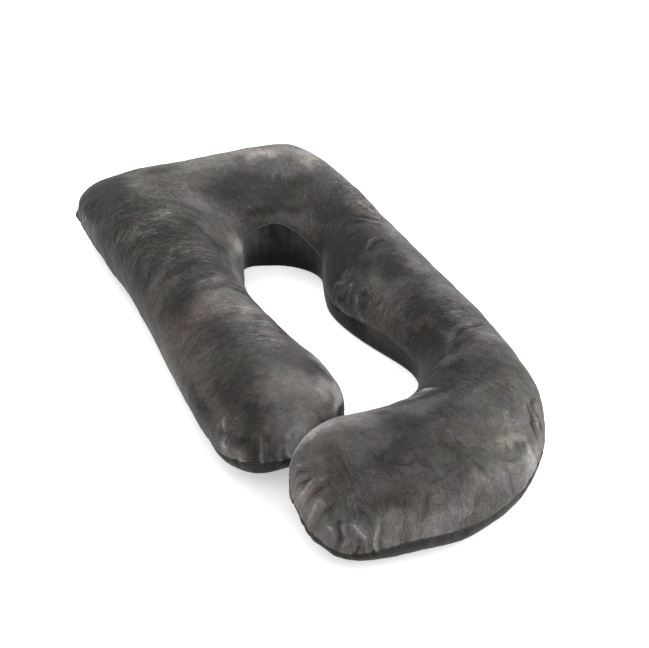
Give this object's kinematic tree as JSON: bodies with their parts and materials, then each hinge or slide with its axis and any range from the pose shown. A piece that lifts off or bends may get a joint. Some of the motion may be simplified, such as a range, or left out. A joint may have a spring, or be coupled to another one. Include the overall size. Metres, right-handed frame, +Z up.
{
  "type": "body pillow",
  "caption": "Filled body pillow in a G outline: straight limb, broad square head with a round hole, and longer limb that curls round the foot.",
  "frame": {"origin": "on the floor under the middle of the pillow's bounding box", "axes": "+Z up out of the upper panel, +Y along the pillow's length from the foot to the head, +X across it towards the long limb"},
  "size_m": [0.6984, 1.4094, 0.1916],
  "materials": {
    "mottled_velvet": "crushed short-pile velvet, mottled dark grey with lighter and darker brushed patches; the lower panel is the same cloth, plain and darker",
    "plain_velvet": "plain short-pile velvet, charcoal grey"
  },
  "bodies": {
    "root": {"pillow": "mottled_velvet"}
  },
  "joints": []
}
